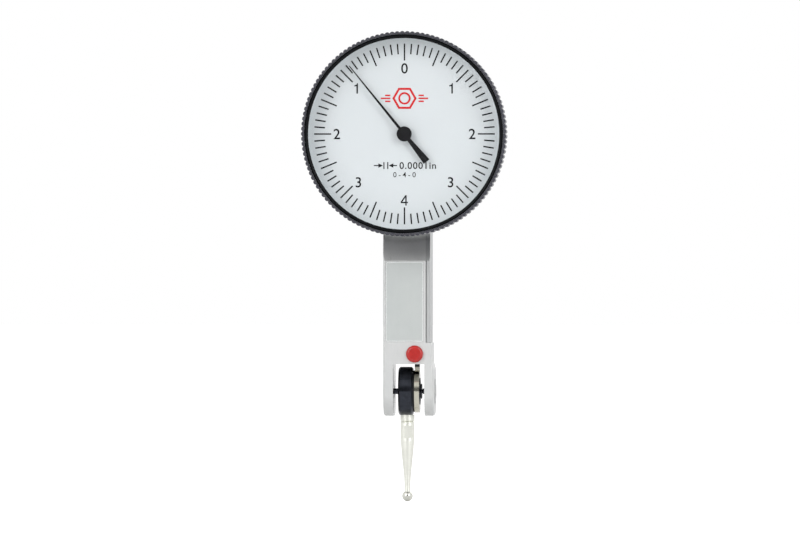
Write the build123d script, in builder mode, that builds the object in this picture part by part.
from build123d import *
import os
from math import cos, pi, radians, sin, tan

# Lever-type dial test indicator, 0.0001 in, 0-4-0 dial, 38 mm bezel.
# The origin is where the dial axis meets the outer face of the rear dovetail. +Z is up, +X is to the
# right, the dial faces -Y. A "depth" is a distance in front of the rear dovetail face, so Y = -depth.

# ---- Fits ----
running_clearance = 0.02
seat_clearance = 0.02
bezel_clearance = 0.05
side_clearance = 0.10

# ---- Frame: stem ----
dovetail_height = 1.7
dovetail_width = 6.3
dovetail_angle = 60
rear_dovetail_bottom = -33.0
rear_dovetail_top = 9.0
stem_half_width = 4.25
cover_face = 4.47
stem_depth = 12.0
stem_top = 13.3
wall = 1.2
front_wall = 1.5
edge_chamfer = 0.25

# ---- Bezel ----
bezel_radius = 19.0
bezel_wall = 0.57
bezel_depth = 6.6
knurl_teeth = 125
knurl_depth = 0.28
knurl_chamfer = 0.35
ring_width = 0.73
ring_height = 0.75
ring_below_edge = 0.15
crystal_thickness = 1.0
crystal_dome = 0.12
spacer_height = 2.0
spacer_inset = 0.15
dial_thickness = 0.4
dial_hole_radius = 1.3
retainer_wire = 0.5
retainer_bite = 0.35
retainer_setback = 1.2
retainer_opening = 2.0
ring_back_edge = 0.1
ring_lip_rise = 0.4
ring_round = 0.22
ring_crest = 0.2
crystal_margin = 0.3

# ---- Frame: round case and the neck that the bezel turns on ----
neck_step = 1.26
neck_wall = 1.27
neck_gap = 0.3
case_flange = 0.83
case_wall = 0.9
case_floor_step = 0.2
case_depth = 2.5
slope_rise = 5.75
slope_setback = 1.0

# ---- Lever and stylus ----
pivot_z = -47.78
tip_length = 19.5
ball_radius = 1.0
ball_seat_height = 0.8
hub_radius = 4.56
hub_left = -1.58
hub_right = 1.13
hub_chamfer = 0.3
lever_left = 1.41
lever_thickness = 0.91
lever_disc_radius = 4.0
lever_arm_width = 2.2
lever_arm_end_width = 1.6
lever_arm_taper = 3.0
lever_arm_above_pin = 1.0
lever_slot_length = 1.6
lever_slot_rise = 0.3
friction_washer_inset = 0.7
spring_washer_radius = 2.5
spring_washer_thickness = 0.28
spring_washer_strip = 0.12
hub_arbor_radius = 1.0
hub_arbor_rim = 0.4
hub_arbor_rim_width = 0.15
cone_angle = 90
cone_depth = 0.35
pivot_screw_radius = 1.25
pivot_pin_radius = 0.55
pivot_screw_chamfer = 0.1
pivot_screw_sink = 0.1

# Share of the taper's length down it, and share of the radius still to be lost there
taper_shape = [(0.13, 0.87), (0.34, 0.64), (0.57, 0.36), (0.79, 0.12)]
collar_drop = 1.05
collar_radius = 1.31
collar_chamfer = 0.16
shank_radius = 1.28
shank_length = 3.67
shank_flat_depth = 0.23
shank_flat_height = 2.3
shank_flat_top = 0.8
shank_flat_turn = 10
taper_radius = 0.53
taper_above_ball = 1.6
stud_thread_radius = 0.8
stud_thread_length = 1.9
hub_flat = 0.15

# ---- Fork ----
fork_gap_left = -2.43
fork_gap_right = 3.40
fork_right = 5.1
fork_below_pivot = 4.55
hub_gap = 0.52
shoulder_right = 4.7
shoulder_height = 4.0
shoulder_slope_top = 0.4
shoulder_slope_foot = 1.0
cheek_radius = 2.3
cheek_height = 0.2
fork_corner_radius = 3.6

# ---- Movement ----
graduation_travel = 0.00254
divisions = 80
crown_teeth = 72
centre_teeth = 12
face_module = 0.1
centre_pinion_width = 0.8
crown_rim = 0.4
crown_disc_thickness = 0.5
crown_tooth_length = 0.8
crown_tooth_share = 0.42
crown_hub_radius = 1.2
crown_hub_length = 0.6
tooth_addendum = 0.8
tooth_dedendum = 1.15
pinion_teeth = 16
sector_teeth = 320
sector_module = 0.1625
sector_left = 0.6
sector_thickness = 0.4
sector_head_teeth = 4
sector_head_depth = 1.8
sector_arm_width = 2.2
sector_arm_end_width = 1.2
sector_tail_width = 1.4
sector_hub_radius = 1.5
sector_collar_radius = 1.0
sector_collar_length = 0.5
end_play = 0.05
drive_pin_radius = 0.28
arbor_radius = 0.45
pivot_radius = 0.2
jewel_radius = 0.75
jewel_length = 0.7
plate_thickness = 0.7
plate_left = 2.6
plate_foot = 6.6
plate_head = 1.0
plate_margin = 0.35
plate_corner = 0.6
plate_foot_width = 1.5
plate_neck_width = 2.4
plate_window_width = 2.6
plate_window_length = 9.0
centre_arbor_radius = 0.3
centre_jewel_radius = 0.9
bridge_height = 2.3
bridge_thickness = 0.9
bridge_width = 3.4
bridge_span = 12.0
spiral_clearance = 0.85
spiral_height = 0.35
spiral_thickness = 0.05
spiral_turns = 5
spiral_start_radius = 0.85
spiral_end_radius = 3.0
collet_radius = 0.8
collet_length = 0.8
collet_slit = 0.12
collet_slit_inset = 0.1
stud_radius = 0.35
pillar_radius = 0.9
pillar_inset = 1.4

# ---- Hand ----
hand_angle = 129.0
hand_length = 16.2
hand_tail = 6.6
hand_root_width = 0.55
hand_tip_width = 0.17
tail_root_width = 0.54
tail_end_width = 1.36
hand_thickness = 0.15
hand_gap = 0.95
hand_hub_radius = 1.40
hand_hub_height = 0.35
hand_sleeve_radius = 0.6
hand_sleeve_length = 0.7
hand_boss_radius = 1.12
hand_hub_chamfer = 0.12
hand_cap = 0.12

# ---- Cover, plates and small fittings ----
cover_thickness = 0.8
seam_width = 0.2
seam_depth = 0.5
cover_top = 6.5
pocket_foot = 2.7
pocket_top = 4.6
pocket_corner = 0.8
arm_slot_length = 3.6
label_left = -3.80
label_right = 3.26
label_margin = 0.15
label_corner = 0.45
label_recess = 0.3
label_thickness = 0.25
plug_x = 1.6
plug_height = 1.9
plug_radius = 1.6
plug_dome = 0.75
plug_shank_radius = 1.1
plug_shank_length = 1.5
stop_screw_radius = 0.7
stop_screw_length = 2.6
stop_screw_gap = 0.35
cover_screw_radius = 0.45
cover_screw_head = 0.85
cover_screw_length = 1.9
small_screw_radius = 0.4
small_screw_head = 0.75
small_screw_length = 1.8
case_screw_length = 2.6
case_screw_head_height = 0.5
case_screw_spread = 2.2
case_screw_z = 9.0
slot_width = 0.25
slot_depth = 0.25
slot_turn = 35
pivot_slot_width = 0.35
pivot_slot_depth = 0.5

# ---- Sizes that follow from those above ----
stem_rear = dovetail_height
stem_front = stem_rear + stem_depth
pivot_depth = stem_rear + stem_depth / 2
fork_bottom = pivot_z - fork_below_pivot
fork_gap_top = pivot_z + hub_radius + hub_gap
stem_bottom = fork_gap_top + shoulder_height
pocket_bottom = stem_bottom + pocket_foot
plug_z = fork_gap_top + plug_height

pocket_radius = bezel_radius - bezel_wall
neck_radius = pocket_radius - neck_step
case_radius = neck_radius + case_flange
case_bore = neck_radius - neck_wall
ring_lip_radius = pocket_radius - ring_width
spacer_bore = ring_lip_radius + spacer_inset
case_floor = stem_front + case_floor_step
case_back = case_floor - case_wall
case_front = case_floor + case_depth
bezel_rear = case_front + neck_gap
bezel_front = bezel_rear + bezel_depth
slope_top_depth = stem_front - slope_setback
slope_top = -(case_radius - edge_chamfer)
slope_foot = slope_top - slope_rise
label_top = slope_foot - label_margin
label_bottom = stem_bottom + label_margin
bridge_depth = case_floor + bridge_height
spiral_depth = case_floor + spiral_clearance

stem_right = cover_face - cover_thickness
pocket_left = -stem_half_width + wall
pocket_rear = stem_rear + wall
pocket_front = stem_front - front_wall
dovetail_neck = dovetail_width - 2 * dovetail_height / tan(radians(dovetail_angle))
ring_front = bezel_front - ring_below_edge
crystal_front = ring_front - ring_height
spacer_front = crystal_front - crystal_thickness
dial_front = spacer_front - spacer_height
dial_rear = dial_front - dial_thickness
neck_front = dial_rear - neck_gap
retainer_rear = neck_front - retainer_setback
seated_radius = pocket_radius - bezel_clearance

lever_right = lever_left + lever_thickness
spring_washer_left = lever_right + running_clearance
spring_washer_right = spring_washer_left + spring_washer_thickness
hub_arbor_right = spring_washer_right + hub_arbor_rim_width
friction_washer_radius = hub_radius - friction_washer_inset

pinion_radius = sector_module * pinion_teeth / 2
sector_radius = sector_module * sector_teeth / 2
crown_radius = face_module * crown_teeth / 2
centre_radius = face_module * centre_teeth / 2
sector_z = -(sector_radius + pinion_radius)
pivot_span = sector_z - pivot_z
turn_travel = graduation_travel * divisions
train_ratio = (sector_radius / pinion_radius) * (crown_radius / centre_radius)
lever_ratio = 2 * pi * tip_length / (turn_travel * train_ratio)
sector_tail = pivot_span / (1 + lever_ratio)
drive_pin_z = sector_z - sector_tail
sector_right = sector_left + sector_thickness
centre_pinion_depth = pivot_depth + crown_radius
plate_right = plate_left + plate_thickness

cover_screw_spots = [
    (-(pocket_rear + 1.1), (stem_bottom + pocket_bottom) / 2),
    (-(pocket_front - 1.1), (stem_bottom + pocket_bottom) / 2),
    (-(pocket_rear + 1.1), (cover_top + pocket_top) / 2),
    (-(pocket_front - 1.9), (cover_top + pocket_top) / 2),
]
pillar_spots = [
    (-pocket_rear - pillar_inset, sector_z - 4.2),
    (-pocket_front + pillar_inset, sector_z + 6.3),
    (-pocket_rear - pillar_inset, -crown_radius - 3.9),
]
bridge_spots = [(-bridge_span / 2, 0), (bridge_span / 2, 0)]
train_spots = [(-pivot_depth, 0), (-pivot_depth, sector_z)]
case_screw_spots = [(-case_screw_spread, case_screw_z), (case_screw_spread, case_screw_z)]
hand_front = dial_front + hand_gap + hand_thickness
centre_arbor_front = hand_front + hand_hub_height - hand_cap


def gear_points(teeth, module, radius, middle, first, last):
    """Corner points of gear teeth first to last, tooth 0 being centred on the angle middle."""
    pitch = 2 * pi / teeth
    tip = radius + tooth_addendum * module
    root = radius - tooth_dedendum * module
    points = []
    for tooth in range(first, last + 1):
        centre = middle + tooth * pitch
        corners = [(root, -0.29), (tip, -0.11), (tip, 0.11), (root, 0.29)]
        for distance, share in corners:
            angle = centre + share * pitch
            points.append((distance * cos(angle), distance * sin(angle)))
    return points


def shifted(points, across, up):
    """The same points moved by across and up."""
    return [(x + across, y + up) for x, y in points]


def dovetail_outline(foot, face):
    """Section of a dovetail standing from foot to face along the second coordinate."""
    return [
        (-dovetail_neck / 2, foot),
        (-dovetail_width / 2, face),
        (dovetail_width / 2, face),
        (dovetail_neck / 2, foot),
    ]


def spiral_points(offset):
    """Points of the hairspring's spiral, offset outwards from its middle line."""
    steps = spiral_turns * 12
    points = []
    for step in range(steps + 1):
        angle = 2 * pi * spiral_turns * step / steps
        radius = spiral_start_radius + (spiral_end_radius - spiral_start_radius) * step / steps + offset
        points.append((radius * cos(angle), radius * sin(angle)))
    return points


# ---- Fork block: shoulder, two legs and the cheeks round the pivot screws ----
with BuildPart() as fork_block:
    with BuildSketch(Plane.YZ.offset(-stem_half_width)):
        with BuildLine():
            Polyline(
                (-stem_rear, stem_bottom),
                (-stem_rear, fork_bottom),
                (-stem_front, fork_bottom),
                (-stem_front, stem_bottom),
                close=True,
            )
        make_face()
        fillet(vertices().group_by(Axis.Y)[0], fork_corner_radius)
    extrude(amount=stem_half_width + fork_right)
    with BuildSketch(Plane.XZ.offset(stem_rear)):
        with BuildLine():
            Polyline(
                (-stem_half_width, stem_bottom),
                (-stem_half_width, fork_bottom),
                (fork_gap_left, fork_bottom),
                (fork_gap_left, fork_gap_top),
                (fork_gap_right, fork_gap_top),
                (fork_gap_right, fork_bottom),
                (fork_right, fork_bottom),
                (fork_right, fork_gap_top - shoulder_slope_foot),
                (shoulder_right, fork_gap_top + shoulder_slope_top),
                (shoulder_right, stem_bottom),
                close=True,
            )
        make_face()
    extrude(amount=stem_depth, mode=Mode.INTERSECT)
    corner_edges = edges().filter_by(Axis.Z)
    chamfer(corner_edges.group_by(Axis.X)[0] + corner_edges.group_by(Axis.X)[-1], edge_chamfer)
    with BuildSketch(Plane.YZ.offset(-stem_half_width)):
        with Locations((-pivot_depth, pivot_z)):
            Circle(cheek_radius)
    extrude(amount=-cheek_height)
    with BuildSketch(Plane.YZ.offset(fork_right)):
        with Locations((-pivot_depth, pivot_z)):
            Circle(cheek_radius)
    extrude(amount=cheek_height)

# ---- Body frame: stem with its bevel under the bezel, dovetails and fork in one casting ----
with BuildPart() as body_frame:
    with BuildSketch(Plane.YZ.offset(-stem_half_width)):
        with BuildLine():
            Polyline(
                (-stem_rear, stem_bottom),
                (-stem_front, stem_bottom),
                (-stem_front, slope_foot),
                (-slope_top_depth, slope_top),
                (-case_back, slope_top),
                (-case_back, stem_top),
                (-stem_rear, stem_top),
                close=True,
            )
        make_face()
    extrude(amount=stem_half_width + stem_right)
    long_edges = edges().filter_by(Axis.Z).group_by(Axis.X)[0].filter_by(lambda edge: edge.length > 10)
    chamfer(long_edges, edge_chamfer)
    with BuildSketch(Plane.YZ.offset(stem_right)):
        with Locations((-(stem_rear + case_back) / 2, (cover_top + stem_top) / 2)):
            Rectangle(case_back - stem_rear, stem_top - cover_top)
    extrude(amount=cover_thickness)
    add(fork_block.part)
    with BuildSketch(Plane.XY.offset(rear_dovetail_bottom)):
        with BuildLine():
            Polyline(*dovetail_outline(-stem_rear, 0), close=True)
        make_face()
    extrude(amount=rear_dovetail_top - rear_dovetail_bottom)
    with BuildSketch(Plane.XZ.offset(stem_rear)):
        with BuildLine():
            Polyline(*dovetail_outline(stem_top, stem_top + dovetail_height), close=True)
        make_face()
    extrude(amount=case_back - stem_rear)
    # Movement pocket, open on the right
    with BuildSketch(Plane.YZ.offset(pocket_left)):
        with Locations((-(pocket_rear + pocket_front) / 2, (pocket_bottom + pocket_top) / 2)):
            RectangleRounded(pocket_front - pocket_rear, pocket_top - pocket_bottom, pocket_corner)
    extrude(amount=cover_face - pocket_left, mode=Mode.SUBTRACT)
    # Slot that the lever's arm swings in
    with BuildSketch(Plane.XY.offset(fork_gap_top)):
        with Locations(((lever_left + lever_right) / 2, -pivot_depth)):
            Rectangle(lever_thickness + 6 * side_clearance, arm_slot_length)
    extrude(amount=pocket_bottom - fork_gap_top, mode=Mode.SUBTRACT)
    # Recess for the label plate
    with BuildSketch(Plane.XZ.offset(stem_front)):
        with Locations(((label_left + label_right) / 2, (label_bottom + label_top) / 2)):
            RectangleRounded(label_right - label_left, label_top - label_bottom, label_corner)
    extrude(amount=-label_recess, mode=Mode.SUBTRACT)
    # Holes: access plug, stop screw, pivot screws, train jewels, centre jewel, cover screws
    with BuildSketch(Plane.XZ.offset(stem_front)):
        with Locations((plug_x, plug_z)):
            Circle(plug_shank_radius + seat_clearance)
    extrude(amount=-plug_shank_length - side_clearance, mode=Mode.SUBTRACT)
    with BuildSketch(Plane.XZ.offset(stem_front)):
        with Locations((plug_x, plug_z)):
            Circle(stop_screw_radius + seat_clearance)
    extrude(amount=-(stem_front - pivot_depth), mode=Mode.SUBTRACT)
    with BuildSketch(Plane.YZ.offset(-stem_half_width - 1)):
        with Locations((-pivot_depth, pivot_z)):
            Circle(pivot_screw_radius + seat_clearance)
    extrude(amount=stem_half_width + fork_right + 2, mode=Mode.SUBTRACT)
    with BuildSketch(Plane.YZ.offset(pocket_left)):
        with Locations(*train_spots):
            Circle(jewel_radius + seat_clearance)
    extrude(amount=-jewel_length, mode=Mode.SUBTRACT)
    with BuildSketch(Plane.XZ.offset(pocket_front)):
        Circle(centre_jewel_radius + seat_clearance)
    extrude(amount=case_back - pocket_front, mode=Mode.SUBTRACT)
    with BuildSketch(Plane.XZ.offset(case_back)):
        with Locations(*case_screw_spots):
            Circle(small_screw_radius + seat_clearance)
    extrude(amount=-case_screw_length, mode=Mode.SUBTRACT)
    with BuildSketch(Plane.YZ.offset(stem_right)):
        with Locations(*cover_screw_spots):
            Circle(cover_screw_radius + seat_clearance)
    extrude(amount=-(cover_screw_length - cover_thickness + side_clearance), mode=Mode.SUBTRACT)

# ---- Round case with the neck that the bezel turns on, screwed to the stem ----
with BuildPart() as dial_case:
    with BuildSketch(Plane.XZ.offset(case_back)):
        Circle(case_radius)
    extrude(amount=case_front - case_back)
    chamfer(edges().filter_by(GeomType.CIRCLE), edge_chamfer)
    with BuildSketch(Plane.XZ.offset(case_front)):
        Circle(neck_radius)
    extrude(amount=neck_front - case_front)
    with BuildSketch(Plane.XZ.offset(case_floor)):
        Circle(case_bore)
    extrude(amount=neck_front - case_floor, mode=Mode.SUBTRACT)
    with BuildSketch(Plane.XZ.offset(retainer_rear)):
        Circle(neck_radius + 1)
        Circle(neck_radius - retainer_bite, mode=Mode.SUBTRACT)
    extrude(amount=retainer_wire + side_clearance, mode=Mode.SUBTRACT)
    with BuildSketch(Plane.XZ.offset(case_back)):
        Circle(centre_jewel_radius + seat_clearance)
        with Locations(*case_screw_spots):
            Circle(small_screw_radius + seat_clearance)
    extrude(amount=case_wall, mode=Mode.SUBTRACT)

with BuildPart() as case_screws:
    with BuildSketch(Plane.XZ.offset(case_floor)):
        with Locations(*case_screw_spots):
            Circle(small_screw_head)
    extrude(amount=case_screw_head_height)
    with BuildSketch(Plane.XZ.offset(case_floor)):
        with Locations(*case_screw_spots):
            Circle(small_screw_radius)
    extrude(amount=side_clearance - case_wall - case_screw_length)
    with BuildSketch(Plane.XZ.offset(case_floor + case_screw_head_height)):
        with Locations(*case_screw_spots):
            Rectangle(2 * small_screw_head, slot_width, rotation=slot_turn)
    extrude(amount=-slot_depth, mode=Mode.SUBTRACT)

# ---- Side cover, screwed over the pocket ----
with BuildPart() as side_cover:
    with BuildSketch(Plane.YZ.offset(stem_right)):
        with BuildLine():
            Polyline(
                (-stem_rear, stem_bottom + side_clearance / 2),
                (-stem_front, stem_bottom + side_clearance / 2),
                (-stem_front, slope_foot),
                (-slope_top_depth, slope_top),
                (-case_back + side_clearance / 2, slope_top),
                (-case_back + side_clearance / 2, cover_top - side_clearance / 2),
                (-stem_rear, cover_top - side_clearance / 2),
                close=True,
            )
        make_face()
    extrude(amount=cover_thickness)
    outer_rim = faces().sort_by(Axis.X)[-1].edges().filter_by(Axis.Z)
    chamfer(outer_rim, edge_chamfer * 0.6)
    # Groove that marks the seam down the front
    with BuildSketch(Plane.XZ.offset(stem_front - seam_depth)):
        with Locations((stem_right, slope_foot)):
            Rectangle(seam_width, slope_foot - stem_bottom, align=(Align.MIN, Align.MAX))
    extrude(amount=seam_depth, mode=Mode.SUBTRACT)
    with BuildSketch(Plane.YZ.offset(stem_right)):
        with Locations(*cover_screw_spots):
            Circle(cover_screw_radius + seat_clearance)
    extrude(amount=cover_thickness, mode=Mode.SUBTRACT)
    with BuildSketch(Plane.YZ.offset(cover_face)):
        with Locations(*cover_screw_spots):
            Circle(cover_screw_head + seat_clearance)
    extrude(amount=-cover_thickness / 2, mode=Mode.SUBTRACT)

with BuildPart() as side_cover_screws:
    with BuildSketch(Plane.YZ.offset(cover_face - cover_screw_length)):
        with Locations(*cover_screw_spots):
            Circle(cover_screw_radius)
    extrude(amount=cover_screw_length)
    with BuildSketch(Plane.YZ.offset(cover_face)):
        with Locations(*cover_screw_spots):
            Circle(cover_screw_head)
    extrude(amount=-cover_thickness / 2)
    with BuildSketch(Plane.YZ.offset(cover_face)):
        with Locations(*cover_screw_spots):
            Rectangle(2 * cover_screw_head, slot_width, rotation=slot_turn)
    extrude(amount=-slot_depth, mode=Mode.SUBTRACT)

# ---- Label plate in the front face ----
with BuildPart() as label_plate:
    with BuildSketch(Plane.XZ.offset(stem_front - label_recess)):
        with Locations(((label_left + label_right) / 2, (label_bottom + label_top) / 2)):
            RectangleRounded(
                label_right - label_left - side_clearance,
                label_top - label_bottom - side_clearance,
                label_corner - side_clearance / 2,
            )
    extrude(amount=label_thickness)

# ---- Access plug over the stop screw ----
with BuildPart() as access_plug:
    with BuildSketch(Plane.XZ.offset(stem_front)):
        with Locations((plug_x, plug_z)):
            Circle(plug_radius)
    extrude(amount=plug_dome)
    fillet(faces().sort_by(Axis.Y)[0].edges(), plug_dome * 0.8)
    with BuildSketch(Plane.XZ.offset(stem_front - plug_shank_length)):
        with Locations((plug_x, plug_z)):
            Circle(plug_shank_radius)
    extrude(amount=plug_shank_length)

stop_screw_tip = pivot_depth + lever_arm_width / 2 + stop_screw_gap
with BuildPart() as stop_screw:
    with BuildSketch(Plane.XZ.offset(stop_screw_tip)):
        with Locations((plug_x, plug_z)):
            Circle(stop_screw_radius)
    extrude(amount=stop_screw_length)
    chamfer(faces().sort_by(Axis.Y)[-1].edges(), slot_depth)
    with BuildSketch(Plane.XZ.offset(stop_screw_tip + stop_screw_length)):
        with Locations((plug_x, plug_z)):
            Rectangle(3 * stop_screw_radius, slot_width)
    extrude(amount=-slot_depth, mode=Mode.SUBTRACT)


def pivot_screw_profile(face, shoulder, tip, sign):
    """Half section of a screw with a slim cone-pointed pin, from its slotted face to its tip, along X."""
    reach = pivot_pin_radius / tan(radians(cone_angle / 2))
    return [
        (face, 0),
        (face, pivot_screw_radius - pivot_screw_chamfer),
        (face - sign * pivot_screw_chamfer, pivot_screw_radius),
        (shoulder, pivot_screw_radius),
        (shoulder, pivot_pin_radius),
        (tip + sign * reach, pivot_pin_radius),
        (tip, 0),
    ]


# Centre holes in the hub arbor's ends take the screws' cones
left_screw_face = -stem_half_width - cheek_height + pivot_screw_sink
right_screw_face = fork_right + cheek_height - pivot_screw_sink
left_screw = [left_screw_face, fork_gap_left - side_clearance, hub_left + cone_depth, -1]
right_screw = [right_screw_face, fork_gap_right + side_clearance, hub_arbor_right - cone_depth, 1]
pivot_axis = Axis((0, -pivot_depth, pivot_z), (1, 0, 0))

with BuildPart() as pivot_screw_left:
    with BuildSketch(Plane.XY.offset(pivot_z)):
        with BuildLine():
            Polyline(*shifted(pivot_screw_profile(*left_screw), 0, -pivot_depth), close=True)
        make_face()
    revolve(axis=pivot_axis)
    with BuildSketch(Plane.YZ.offset(left_screw_face)):
        with Locations((-pivot_depth, pivot_z)):
            Rectangle(3 * pivot_screw_radius, pivot_slot_width, rotation=slot_turn)
    extrude(amount=pivot_slot_depth, mode=Mode.SUBTRACT)

with BuildPart() as pivot_screw_right:
    with BuildSketch(Plane.XY.offset(pivot_z)):
        with BuildLine():
            Polyline(*shifted(pivot_screw_profile(*right_screw), 0, -pivot_depth), close=True)
        make_face()
    revolve(axis=pivot_axis)
    with BuildSketch(Plane.YZ.offset(right_screw_face)):
        with Locations((-pivot_depth, pivot_z)):
            Rectangle(3 * pivot_screw_radius, pivot_slot_width, rotation=slot_turn)
    extrude(amount=-pivot_slot_depth, mode=Mode.SUBTRACT)

# ---- Bearing plate for the right ends of the train, on three pillars ----
plate_bottom = sector_z - plate_foot
plate_top = pocket_top - plate_head
plate_rear = pocket_rear + plate_margin
plate_front_edge = pocket_front - plate_margin

with BuildPart() as bearing_plate:
    with BuildSketch(Plane.YZ.offset(plate_left)):
        with BuildLine():
            Polyline(
                (-plate_rear, plate_bottom),
                (-pivot_depth - plate_foot_width, plate_bottom),
                (-plate_front_edge, sector_z + plate_head),
                (-plate_front_edge, pillar_spots[1][1] + 2 * plate_head),
                (-pivot_depth - plate_neck_width, pillar_spots[2][1]),
                (-pivot_depth - plate_neck_width, plate_top),
                (-plate_rear - plate_head, plate_top),
                (-plate_rear, pillar_spots[2][1]),
                close=True,
            )
        make_face()
        fillet(vertices(), plate_corner)
        with Locations(*pillar_spots):
            Circle(small_screw_radius + seat_clearance, mode=Mode.SUBTRACT)
        with Locations(*train_spots):
            Circle(jewel_radius + seat_clearance, mode=Mode.SUBTRACT)
        with Locations((-pivot_depth, (pillar_spots[1][1] + pillar_spots[2][1]) / 2)):
            RectangleRounded(plate_window_width, plate_window_length, pocket_corner, mode=Mode.SUBTRACT)
    extrude(amount=plate_thickness)
    with BuildSketch(Plane.YZ.offset(plate_right)):
        with Locations(*pillar_spots):
            Circle(small_screw_head + seat_clearance)
    extrude(amount=-plate_thickness / 2, mode=Mode.SUBTRACT)

with BuildPart() as bearing_plate_pillars:
    with BuildSketch(Plane.YZ.offset(pocket_left)):
        with Locations(*pillar_spots):
            Circle(pillar_radius)
    extrude(amount=plate_left - pocket_left)
    with BuildSketch(Plane.YZ.offset(plate_left)):
        with Locations(*pillar_spots):
            Circle(small_screw_radius + seat_clearance)
    extrude(amount=-small_screw_length, mode=Mode.SUBTRACT)

with BuildPart() as bearing_plate_screws:
    with BuildSketch(Plane.YZ.offset(plate_right)):
        with Locations(*pillar_spots):
            Circle(small_screw_radius)
    extrude(amount=-small_screw_length)
    with BuildSketch(Plane.YZ.offset(plate_right)):
        with Locations(*pillar_spots):
            Circle(small_screw_head)
    extrude(amount=-plate_thickness / 2)
    with BuildSketch(Plane.YZ.offset(plate_right)):
        with Locations(*pillar_spots):
            Rectangle(2 * small_screw_head, slot_width, rotation=slot_turn)
    extrude(amount=-slot_depth, mode=Mode.SUBTRACT)

with BuildPart() as train_jewels:
    with BuildSketch(Plane.YZ.offset(pocket_left)):
        with Locations(*train_spots):
            Circle(jewel_radius)
            Circle(pivot_radius + running_clearance, mode=Mode.SUBTRACT)
    extrude(amount=-jewel_length)
    with BuildSketch(Plane.YZ.offset(plate_left)):
        with Locations(*train_spots):
            Circle(jewel_radius)
            Circle(pivot_radius + running_clearance, mode=Mode.SUBTRACT)
    extrude(amount=jewel_length)

# ---- Bridge and jewels for the centre arbor ----
with BuildPart() as centre_jewels:
    with BuildSketch(Plane.XZ.offset(pocket_front)):
        Circle(centre_jewel_radius)
        Circle(centre_arbor_radius + running_clearance, mode=Mode.SUBTRACT)
    extrude(amount=case_floor - pocket_front)
    with BuildSketch(Plane.XZ.offset(bridge_depth)):
        Circle(centre_jewel_radius)
        Circle(centre_arbor_radius + running_clearance, mode=Mode.SUBTRACT)
    extrude(amount=bridge_thickness)

with BuildPart() as dial_bridge:
    with BuildSketch(Plane.XZ.offset(bridge_depth)):
        SlotCenterToCenter(bridge_span, bridge_width)
        Circle(centre_jewel_radius + seat_clearance, mode=Mode.SUBTRACT)
        with Locations(*bridge_spots):
            Circle(small_screw_radius + seat_clearance, mode=Mode.SUBTRACT)
    extrude(amount=bridge_thickness)
    with BuildSketch(Plane.XZ.offset(bridge_depth + bridge_thickness)):
        with Locations(*bridge_spots):
            Circle(small_screw_head + seat_clearance)
    extrude(amount=-bridge_thickness / 2, mode=Mode.SUBTRACT)

with BuildPart() as bridge_pillars:
    with BuildSketch(Plane.XZ.offset(case_floor)):
        with Locations(*bridge_spots):
            Circle(pillar_radius)
    extrude(amount=bridge_depth - case_floor)
    with BuildSketch(Plane.XZ.offset(bridge_depth)):
        with Locations(*bridge_spots):
            Circle(small_screw_radius + seat_clearance)
    extrude(amount=-small_screw_length, mode=Mode.SUBTRACT)

with BuildPart() as bridge_screws:
    with BuildSketch(Plane.XZ.offset(bridge_depth + bridge_thickness)):
        with Locations(*bridge_spots):
            Circle(small_screw_radius)
    extrude(amount=-small_screw_length)
    with BuildSketch(Plane.XZ.offset(bridge_depth + bridge_thickness)):
        with Locations(*bridge_spots):
            Circle(small_screw_head)
    extrude(amount=-bridge_thickness / 2)
    with BuildSketch(Plane.XZ.offset(bridge_depth + bridge_thickness)):
        with Locations(*bridge_spots):
            Rectangle(2 * small_screw_head, slot_width, rotation=slot_turn)
    extrude(amount=-slot_depth, mode=Mode.SUBTRACT)

# ---- Hairspring, its stud and its collet ----
with BuildPart() as hairspring:
    with BuildSketch(Plane.XZ.offset(spiral_depth)):
        with BuildLine():
            inner = Spline(*spiral_points(-spiral_thickness / 2))
            outer = Spline(*spiral_points(spiral_thickness / 2))
            Line(inner @ 0, outer @ 0)
            Line(inner @ 1, outer @ 1)
        make_face()
    extrude(amount=spiral_height)

with BuildPart() as hairspring_stud:
    with BuildSketch(Plane.XZ.offset(case_floor)):
        with Locations((spiral_end_radius + spiral_thickness / 2 + stud_radius, 0)):
            Circle(stud_radius)
    extrude(amount=spiral_depth + spiral_height + side_clearance - case_floor)

collet_wall = collet_radius - centre_arbor_radius
with BuildPart() as hairspring_collet:
    with BuildSketch(Plane.XZ.offset(spiral_depth - (collet_length - spiral_height) / 2)):
        Circle(collet_radius)
        Circle(centre_arbor_radius, mode=Mode.SUBTRACT)
        with Locations((0, -collet_radius)):
            Rectangle(collet_slit, 2 * (collet_wall - collet_slit_inset), mode=Mode.SUBTRACT)
    extrude(amount=collet_length)

# ---- Bezel: knurled ring, dial, spacer, crystal and its retaining ring ----
knurl_points = []
for tooth in range(knurl_teeth):
    for share, height in ((0.0, 0.0), (0.22, 0.8), (0.38, 1.0), (0.62, 1.0), (0.78, 0.8)):
        angle = 2 * pi * (tooth + share) / knurl_teeth
        radius = bezel_radius - knurl_depth * (1 - height)
        knurl_points.append((radius * cos(angle), radius * sin(angle)))

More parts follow.
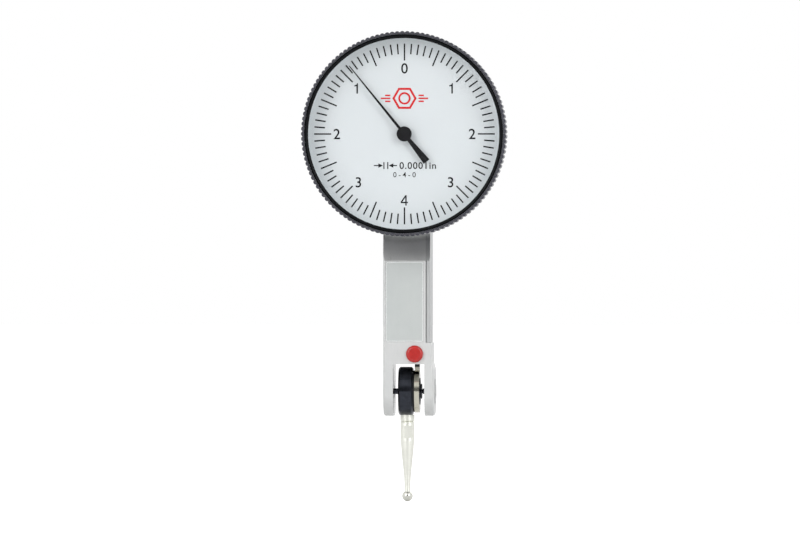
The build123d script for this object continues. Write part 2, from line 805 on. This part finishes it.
bezel_bore = neck_radius + bezel_clearance
with BuildPart() as bezel_ring:
    with BuildSketch(Plane.XZ.offset(bezel_rear)):
        with BuildLine():
            Polyline(*knurl_points, close=True)
        make_face()
        Circle(bezel_bore, mode=Mode.SUBTRACT)
    extrude(amount=bezel_front - bezel_rear)
    with BuildSketch(Plane.XY):
        with BuildLine():
            Polyline(
                (bezel_bore - 1, -bezel_rear),
                (bezel_radius - knurl_chamfer, -bezel_rear),
                (bezel_radius + 0.01, -bezel_rear - knurl_chamfer - 0.01),
                (bezel_radius + 0.01, -bezel_front + knurl_chamfer + 0.01),
                (bezel_radius - knurl_chamfer, -bezel_front),
                (bezel_bore - 1, -bezel_front),
                close=True,
            )
        make_face()
    revolve(axis=Axis.Y, mode=Mode.INTERSECT)
    with BuildSketch(Plane.XZ.offset(dial_rear)):
        Circle(pocket_radius)
    extrude(amount=bezel_front - dial_rear, mode=Mode.SUBTRACT)
    # Groove that the retaining wire springs into
    with BuildSketch(Plane.XZ.offset(retainer_rear)):
        Circle(neck_radius + retainer_bite)
    extrude(amount=retainer_wire + side_clearance, mode=Mode.SUBTRACT)

with BuildPart() as bezel_retainer:
    with BuildSketch(Plane.XZ.offset(retainer_rear + side_clearance / 2)):
        Circle(neck_radius + retainer_bite - side_clearance)
        Circle(neck_radius - retainer_bite + side_clearance, mode=Mode.SUBTRACT)
        with Locations((0, neck_radius)):
            Rectangle(retainer_opening, 6 * retainer_bite, mode=Mode.SUBTRACT)
    extrude(amount=retainer_wire)

with BuildPart() as dial_plate:
    with BuildSketch(Plane.XZ.offset(dial_rear)):
        Circle(seated_radius)
        Circle(dial_hole_radius, mode=Mode.SUBTRACT)
    extrude(amount=dial_thickness)

with BuildPart() as dial_spacer:
    with BuildSketch(Plane.XZ.offset(dial_front)):
        Circle(seated_radius)
        Circle(spacer_bore, mode=Mode.SUBTRACT)
    extrude(amount=spacer_height)

crystal_flat_radius = ring_lip_radius - crystal_margin
with BuildPart() as crystal:
    with BuildSketch(Plane.XY):
        with BuildLine():
            Polyline(
                (0, -crystal_front - crystal_dome),
                (0, -spacer_front),
                (seated_radius, -spacer_front),
                (seated_radius, -crystal_front),
                (crystal_flat_radius, -crystal_front),
            )
            TangentArc(
                (0, -crystal_front - crystal_dome), (crystal_flat_radius, -crystal_front), tangent=(1, 0)
            )
        make_face()
    revolve(axis=Axis.Y)

ring_edge = (seated_radius, -ring_front + ring_back_edge)
ring_top = (seated_radius - ring_crest, -ring_front)
ring_lip = (ring_lip_radius, -ring_front + ring_lip_rise)
ring_shoulder = (ring_lip_radius + ring_round, -ring_front + ring_back_edge / 2)
with BuildPart() as crystal_ring:
    with BuildSketch(Plane.XY):
        with BuildLine():
            Polyline(
                ring_edge,
                (seated_radius, -crystal_front),
                (ring_lip_radius, -crystal_front),
                ring_lip,
            )
            ThreePointArc(ring_lip, ring_shoulder, ring_top)
            Line(ring_top, ring_edge)
        make_face()
    revolve(axis=Axis.Y)

# ---- Centre arbor with its pinion, and the hand ----
centre_phase = pi + pi / centre_teeth
with BuildPart() as centre_arbor:
    with BuildSketch(Plane.XZ.offset(centre_pinion_depth - centre_pinion_width / 2)):
        with BuildLine():
            Polyline(
                *gear_points(
                    centre_teeth, face_module, centre_radius, centre_phase, 0, centre_teeth - 1
                ),
                close=True,
            )
        make_face()
    extrude(amount=centre_pinion_width)
    with BuildSketch(Plane.XZ.offset(centre_pinion_depth + centre_pinion_width / 2)):
        Circle(centre_arbor_radius)
    extrude(amount=centre_arbor_front - centre_pinion_depth - centre_pinion_width / 2)

hand_side = Plane.XZ.offset(dial_front + hand_gap).rotated((0, -hand_angle, 0))
with BuildPart() as hand:
    with BuildSketch(hand_side):
        with BuildLine():
            Polyline(
                (0, hand_root_width / 2),
                (hand_length, hand_tip_width / 2),
                (hand_length, -hand_tip_width / 2),
                (0, -hand_root_width / 2),
                (0, -tail_root_width / 2),
                (-hand_tail, -tail_end_width / 2),
                (-hand_tail, tail_end_width / 2),
                (0, tail_root_width / 2),
                close=True,
            )
        make_face()
        Circle(hand_boss_radius)
        Circle(hand_sleeve_radius, mode=Mode.SUBTRACT)
    extrude(amount=hand_thickness)

with BuildPart() as hand_hub:
    with BuildSketch(Plane.XZ.offset(hand_front)):
        Circle(hand_hub_radius)
    extrude(amount=hand_hub_height)
    chamfer(faces().sort_by(Axis.Y)[0].edges(), hand_hub_chamfer)
    with BuildSketch(Plane.XZ.offset(hand_front)):
        Circle(hand_sleeve_radius)
    extrude(amount=-hand_sleeve_length)
    with BuildSketch(Plane.XZ.offset(hand_front - hand_sleeve_length)):
        Circle(centre_arbor_radius)
    extrude(amount=centre_arbor_front - hand_front + hand_sleeve_length, mode=Mode.SUBTRACT)

# ---- Crown gear and its arbor, whose pinion the sector drives ----
crown_disc_face = -centre_radius - tooth_dedendum * face_module
with BuildPart() as crown_gear:
    with BuildSketch(Plane.YZ.offset(crown_disc_face)):
        with Locations((-pivot_depth, 0)):
            Circle(crown_radius + crown_rim)
            Circle(arbor_radius, mode=Mode.SUBTRACT)
    extrude(amount=-crown_disc_thickness)
    with BuildSketch(Plane.YZ.offset(crown_disc_face)):
        with Locations((-pivot_depth, 0)):
            with PolarLocations(crown_radius, crown_teeth, start_angle=180):
                Rectangle(crown_tooth_length, crown_tooth_share * pi * face_module)
    extrude(amount=(tooth_addendum + tooth_dedendum) * face_module)
    with BuildSketch(Plane.YZ.offset(crown_disc_face - crown_disc_thickness)):
        with Locations((-pivot_depth, 0)):
            Circle(crown_hub_radius)
            Circle(arbor_radius, mode=Mode.SUBTRACT)
    extrude(amount=-crown_hub_length)

arbor_left = pocket_left + end_play
arbor_right = plate_left - end_play
pivot_length = jewel_length - 2 * end_play
with BuildPart() as crown_arbor:
    with BuildSketch(Plane.YZ.offset(arbor_left)):
        with Locations((-pivot_depth, 0)):
            Circle(arbor_radius)
    extrude(amount=arbor_right - arbor_left)
    with BuildSketch(Plane.YZ.offset(arbor_left - pivot_length)):
        with Locations((-pivot_depth, 0)):
            Circle(pivot_radius)
    extrude(amount=arbor_right - arbor_left + 2 * pivot_length)
    with BuildSketch(Plane.YZ.offset(sector_left - side_clearance)):
        with BuildLine():
            Polyline(
                *shifted(
                    gear_points(
                        pinion_teeth,
                        sector_module,
                        pinion_radius,
                        -pi / 2 + pi / pinion_teeth,
                        0,
                        pinion_teeth - 1,
                    ),
                    -pivot_depth,
                    0,
                ),
                close=True,
            )
        make_face()
    extrude(amount=sector_thickness + 2 * side_clearance)

# ---- Sector gear, its arbor and the drive pin in its tail ----
head_half_angle = (sector_head_teeth + 0.5) * 2 * pi / sector_teeth
head_inner = sector_radius - sector_head_depth
head_side = head_inner * sin(head_half_angle)
head_foot = head_inner * cos(head_half_angle)
head_points = [
    *gear_points(sector_teeth, sector_module, sector_radius, pi / 2, -sector_head_teeth, sector_head_teeth),
    (-head_side, head_foot),
    (head_side, head_foot),
]
arm_points = [
    (-sector_arm_width / 2, 0),
    (-sector_arm_end_width / 2, head_inner + sector_thickness / 2),
    (sector_arm_end_width / 2, head_inner + sector_thickness / 2),
    (sector_arm_width / 2, 0),
    (sector_tail_width / 2, -sector_tail),
    (-sector_tail_width / 2, -sector_tail),
]
with BuildPart() as sector_gear:
    with BuildSketch(Plane.YZ.offset(sector_left)):
        with BuildLine():
            Polyline(*shifted(head_points, -pivot_depth, sector_z), close=True)
        make_face()
        with BuildLine():
            Polyline(*shifted(arm_points, -pivot_depth, sector_z), close=True)
        make_face()
        with Locations((-pivot_depth, sector_z)):
            Circle(sector_hub_radius)
        with Locations((-pivot_depth, drive_pin_z)):
            Circle(sector_tail_width / 2)
        with Locations((-pivot_depth, sector_z)):
            Circle(arbor_radius, mode=Mode.SUBTRACT)
        with Locations((-pivot_depth, drive_pin_z)):
            Circle(drive_pin_radius, mode=Mode.SUBTRACT)
    extrude(amount=sector_thickness)

with BuildPart() as sector_arbor:
    with BuildSketch(Plane.YZ.offset(arbor_left)):
        with Locations((-pivot_depth, sector_z)):
            Circle(arbor_radius)
    extrude(amount=arbor_right - arbor_left)
    with BuildSketch(Plane.YZ.offset(arbor_left - pivot_length)):
        with Locations((-pivot_depth, sector_z)):
            Circle(pivot_radius)
    extrude(amount=arbor_right - arbor_left + 2 * pivot_length)
    with BuildSketch(Plane.YZ.offset(sector_left)):
        with Locations((-pivot_depth, sector_z)):
            Circle(sector_collar_radius)
    extrude(amount=-sector_collar_length)

with BuildPart() as drive_pin:
    with BuildSketch(Plane.YZ.offset(sector_left)):
        with Locations((-pivot_depth, drive_pin_z)):
            Circle(drive_pin_radius)
    extrude(amount=lever_right + side_clearance - sector_left)

# ---- Lever plate: clutch disc round the pivot and the arm up to the drive pin ----
lever_arm_points = [
    (-lever_arm_width / 2, pivot_z),
    (-lever_arm_width / 2, drive_pin_z - lever_arm_taper),
    (-lever_arm_end_width / 2, drive_pin_z),
    (-lever_arm_end_width / 2, drive_pin_z + lever_arm_above_pin),
    (lever_arm_end_width / 2, drive_pin_z + lever_arm_above_pin),
    (lever_arm_end_width / 2, drive_pin_z),
    (lever_arm_width / 2, drive_pin_z - lever_arm_taper),
    (lever_arm_width / 2, pivot_z),
]
lever_slot_width = 2 * (drive_pin_radius + running_clearance)
with BuildPart() as lever_plate:
    with BuildSketch(Plane.YZ.offset(lever_left)):
        with Locations((-pivot_depth, pivot_z)):
            Circle(lever_disc_radius)
        with BuildLine():
            Polyline(*shifted(lever_arm_points, -pivot_depth, 0), close=True)
        make_face()
        with Locations((-pivot_depth, pivot_z)):
            Circle(hub_arbor_radius + running_clearance, mode=Mode.SUBTRACT)
        with Locations((-pivot_depth, drive_pin_z + lever_slot_rise)):
            Rectangle(lever_slot_width, lever_slot_length, mode=Mode.SUBTRACT)
    extrude(amount=lever_thickness)

# ---- Contact hub on its arbor, with the friction and spring washers ----
stylus_axis = Axis((0, -pivot_depth, 0), (0, 0, 1))
collar_top = pivot_z - hub_radius + hub_flat
collar_bottom = pivot_z - hub_radius - collar_drop
ball_z = pivot_z - tip_length
shank_bottom = collar_bottom - shank_length
taper_bottom = ball_z + taper_above_ball
taper_length = shank_bottom - taper_bottom

with BuildPart() as contact_hub:
    with BuildSketch(Plane.YZ.offset(hub_left)):
        with Locations((-pivot_depth, pivot_z)):
            Circle(hub_radius)
            Circle(hub_arbor_radius, mode=Mode.SUBTRACT)
    extrude(amount=hub_right - hub_left)
    rim = edges().filter_by(GeomType.CIRCLE).group_by(SortBy.LENGTH)[-1]
    chamfer(rim, hub_chamfer)
    with BuildSketch(Plane.XY.offset(pivot_z - hub_radius)):
        with Locations((0, -pivot_depth)):
            Rectangle(2 * hub_radius, 2 * hub_radius)
    extrude(amount=hub_flat, mode=Mode.SUBTRACT)
    with BuildSketch(Plane.XY.offset(collar_top)):
        with Locations((0, -pivot_depth)):
            Circle(stud_thread_radius + seat_clearance)
    extrude(amount=stud_thread_length + side_clearance, mode=Mode.SUBTRACT)

with BuildPart() as hub_arbor:
    with BuildSketch(Plane.YZ.offset(hub_left)):
        with Locations((-pivot_depth, pivot_z)):
            Circle(hub_arbor_radius)
    extrude(amount=hub_arbor_right - hub_left)
    with BuildSketch(Plane.YZ.offset(spring_washer_right)):
        with Locations((-pivot_depth, pivot_z)):
            Circle(hub_arbor_radius + hub_arbor_rim)
    extrude(amount=hub_arbor_right - spring_washer_right)
    cone_mouth = (cone_depth + 2 * running_clearance) * tan(radians(cone_angle / 2))
    for face_x, direction in ((hub_left, 1), (hub_arbor_right, -1)):
        with BuildSketch(Plane.XY.offset(pivot_z)):
            with BuildLine():
                Polyline(
                    (face_x, -pivot_depth),
                    (face_x, -pivot_depth + cone_mouth),
                    (face_x + direction * (cone_depth + 2 * running_clearance), -pivot_depth),
                    close=True,
                )
            make_face()
        revolve(axis=pivot_axis, mode=Mode.SUBTRACT)

with BuildPart() as friction_washer:
    with BuildSketch(Plane.YZ.offset(hub_right)):
        with Locations((-pivot_depth, pivot_z)):
            Circle(friction_washer_radius)
            Circle(hub_arbor_radius + seat_clearance, mode=Mode.SUBTRACT)
    extrude(amount=lever_left - hub_right - running_clearance)

washer_bore_edge = -pivot_depth + hub_arbor_radius + seat_clearance
washer_rim_edge = -pivot_depth + spring_washer_radius
with BuildPart() as spring_washer:
    with BuildSketch(Plane.XY.offset(pivot_z)):
        with BuildLine():
            Polyline(
                (spring_washer_left, washer_rim_edge),
                (spring_washer_left + spring_washer_strip, washer_rim_edge),
                (spring_washer_right, washer_bore_edge),
                (spring_washer_right - spring_washer_strip, washer_bore_edge),
                close=True,
            )
        make_face()
    revolve(axis=pivot_axis)

# ---- Stylus: shank screwed into the hub, with a carbide ball brazed to its tip ----
taper_points = [(shank_radius, shank_bottom)]
for down, share in taper_shape:
    radius = taper_radius + share * (shank_radius - taper_radius)
    taper_points.append((radius, shank_bottom - down * taper_length))
taper_points.append((taper_radius, taper_bottom))
ball_seat_z = ball_z + ball_seat_height
with BuildPart() as stylus_shank:
    with BuildSketch(Plane.XZ.offset(pivot_depth)):
        with BuildLine():
            Polyline(
                (0, collar_top + stud_thread_length),
                (stud_thread_radius, collar_top + stud_thread_length),
                (stud_thread_radius, collar_top),
                (collar_radius, collar_top),
                (collar_radius, collar_bottom + collar_chamfer),
                (shank_radius - collar_chamfer, collar_bottom),
                (shank_radius, collar_bottom - collar_chamfer),
                (shank_radius, shank_bottom),
            )
            Spline(*taper_points)
            Polyline(
                (taper_radius, taper_bottom),
                (taper_radius, ball_seat_z),
                (0, ball_seat_z),
                (0, collar_top + stud_thread_length),
            )
        make_face()
    revolve(axis=stylus_axis)
    # Two spanner flats
    with BuildSketch(Plane.XY.offset(collar_bottom - shank_flat_top - shank_flat_height)):
        with Locations(Location((0, -pivot_depth), shank_flat_turn)):
            with Locations((0, shank_radius), (0, -shank_radius)):
                Rectangle(2 * shank_radius, 2 * shank_flat_depth)
    extrude(amount=shank_flat_height, mode=Mode.SUBTRACT)

with BuildPart() as stylus_ball:
    with Locations((0, -pivot_depth, ball_z)):
        Sphere(ball_radius)
    with BuildSketch(Plane.XY.offset(ball_seat_z)):
        with Locations((0, -pivot_depth)):
            Circle(ball_radius)
    extrude(amount=ball_radius, mode=Mode.SUBTRACT)

pieces = {
    "body_frame": body_frame,
    "dial_case": dial_case,
    "case_screws": case_screws,
    "side_cover": side_cover,
    "side_cover_screws": side_cover_screws,
    "label_plate": label_plate,
    "access_plug": access_plug,
    "stop_screw": stop_screw,
    "pivot_screw_left": pivot_screw_left,
    "pivot_screw_right": pivot_screw_right,
    "bearing_plate": bearing_plate,
    "bearing_plate_pillars": bearing_plate_pillars,
    "bearing_plate_screws": bearing_plate_screws,
    "train_jewels": train_jewels,
    "centre_jewels": centre_jewels,
    "dial_bridge": dial_bridge,
    "bridge_pillars": bridge_pillars,
    "bridge_screws": bridge_screws,
    "hairspring": hairspring,
    "hairspring_stud": hairspring_stud,
    "hairspring_collet": hairspring_collet,
    "bezel_ring": bezel_ring,
    "bezel_retainer": bezel_retainer,
    "dial_plate": dial_plate,
    "dial_spacer": dial_spacer,
    "crystal": crystal,
    "crystal_ring": crystal_ring,
    "centre_arbor": centre_arbor,
    "hand": hand,
    "hand_hub": hand_hub,
    "crown_gear": crown_gear,
    "crown_arbor": crown_arbor,
    "sector_gear": sector_gear,
    "sector_arbor": sector_arbor,
    "drive_pin": drive_pin,
    "lever_plate": lever_plate,
    "contact_hub": contact_hub,
    "hub_arbor": hub_arbor,
    "friction_washer": friction_washer,
    "spring_washer": spring_washer,
    "stylus_shank": stylus_shank,
    "stylus_ball": stylus_ball,
}

os.makedirs("parts", exist_ok=True)
for name, piece in pieces.items():
    piece.part.label = name
    export_step(piece.part, f"parts/{name}.step")
